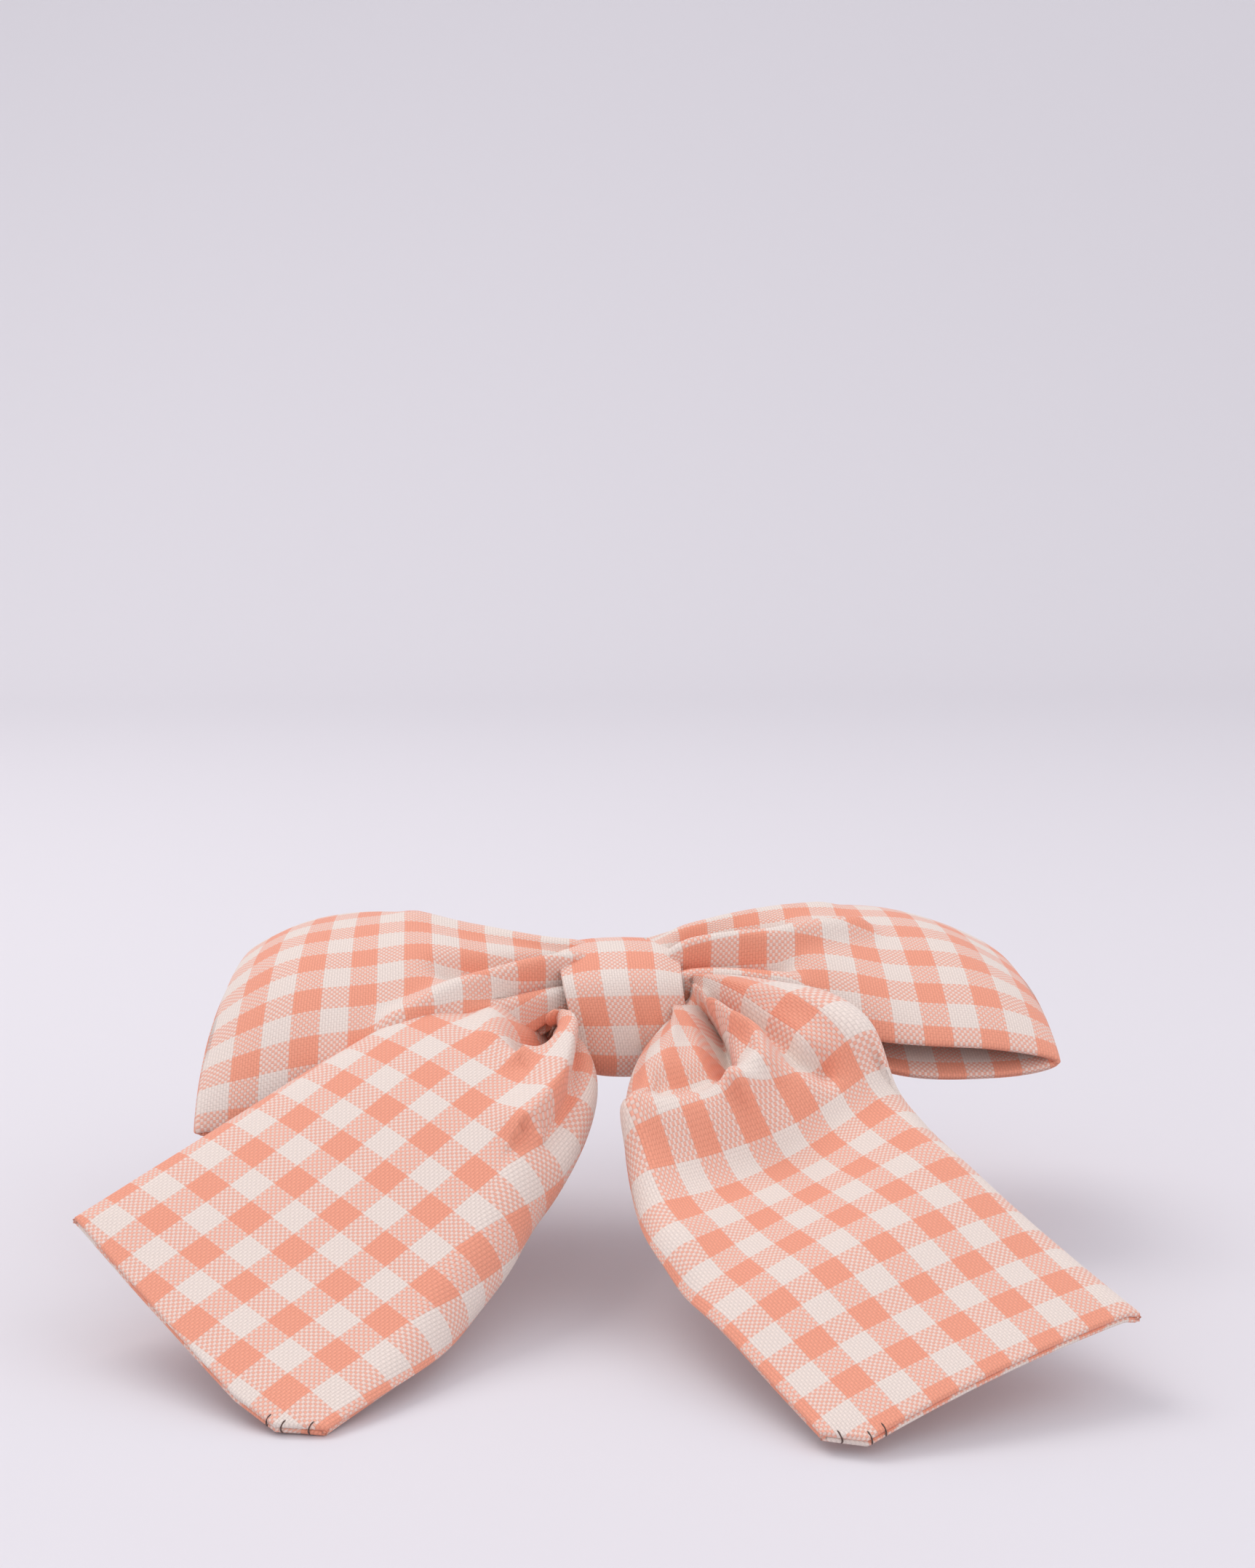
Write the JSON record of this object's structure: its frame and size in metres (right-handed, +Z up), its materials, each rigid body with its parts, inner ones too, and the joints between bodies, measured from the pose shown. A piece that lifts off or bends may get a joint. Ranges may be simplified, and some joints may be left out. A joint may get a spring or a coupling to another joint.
{
  "type": "fabric hair bow",
  "caption": "Gingham cloth hair bow with two folded loops, a wrapped knot and two draped tails, on a sprung hair clip with an opening arm.",
  "frame": {"origin": "middle of the clip's grip, on the middle of the closed lever arm", "axes": "+X along the clip towards its catch, -Y towards the tails, +Z up through the knot, so the hair side of the clip faces -Z"},
  "size_m": [0.1704, 0.143, 0.0532],
  "materials": {
    "gingham_cloth": "woven cotton, peach and cream check",
    "interfacing": "soft non-woven",
    "sewing_thread": "matt spun thread",
    "clip_steel": "bright nickel plate",
    "spring_steel": "satin spring steel"
  },
  "bodies": {
    "bow": {"loops_outer_ply": "gingham_cloth", "loops_interfacing": "interfacing", "loops_inner_ply": "gingham_cloth", "gather_thread": "sewing_thread", "knot_band": "gingham_cloth", "knot_seam_stitches": "sewing_thread", "left_tail_front_ply": "gingham_cloth", "left_tail_interfacing": "interfacing", "left_tail_back_ply": "gingham_cloth", "left_tail_stitches": "sewing_thread", "right_tail_front_ply": "gingham_cloth", "right_tail_interfacing": "interfacing", "right_tail_back_ply": "gingham_cloth", "right_tail_stitches": "sewing_thread", "sewing_thread_left": "sewing_thread", "sewing_thread_right": "sewing_thread", "clip_base_bar": "clip_steel", "clip_hinge_pin": "clip_steel", "clip_tension_strip": "spring_steel", "clip_strip_rivet": "clip_steel", "clip_catch_bracket": "clip_steel", "clip_catch_rivet": "clip_steel"},
    "lever_arm": {"clip_lever_arm": "clip_steel"},
    "prong_front": {"catch_prong_front": "spring_steel"},
    "prong_back": {"catch_prong_back": "spring_steel"}
  },
  "joints": [
    {"name": "arm_hinge", "type": "hinge", "parent": "bow", "child": "lever_arm", "pos_m": [-0.025, 0, 0.0011], "axis": [0, 1, 0], "range_deg": [0, 80]},
    {"name": "catch_pinch_front", "type": "hinge", "parent": "bow", "child": "prong_front", "pos_m": [0.0245, -0.0019, 0.0055], "axis": [1, 0, 0], "range_deg": [0, 6], "stiffness_Nm_per_rad": 0.01},
    {"name": "catch_pinch_back", "type": "hinge", "parent": "bow", "child": "prong_back", "pos_m": [0.0245, 0.0019, 0.0055], "axis": [-1, 0, 0], "range_deg": [0, 6], "stiffness_Nm_per_rad": 0.01}
  ],
  "couplings": [
    {"joint": "catch_pinch_back", "follows": "catch_pinch_front", "ratio": 1}
  ]
}
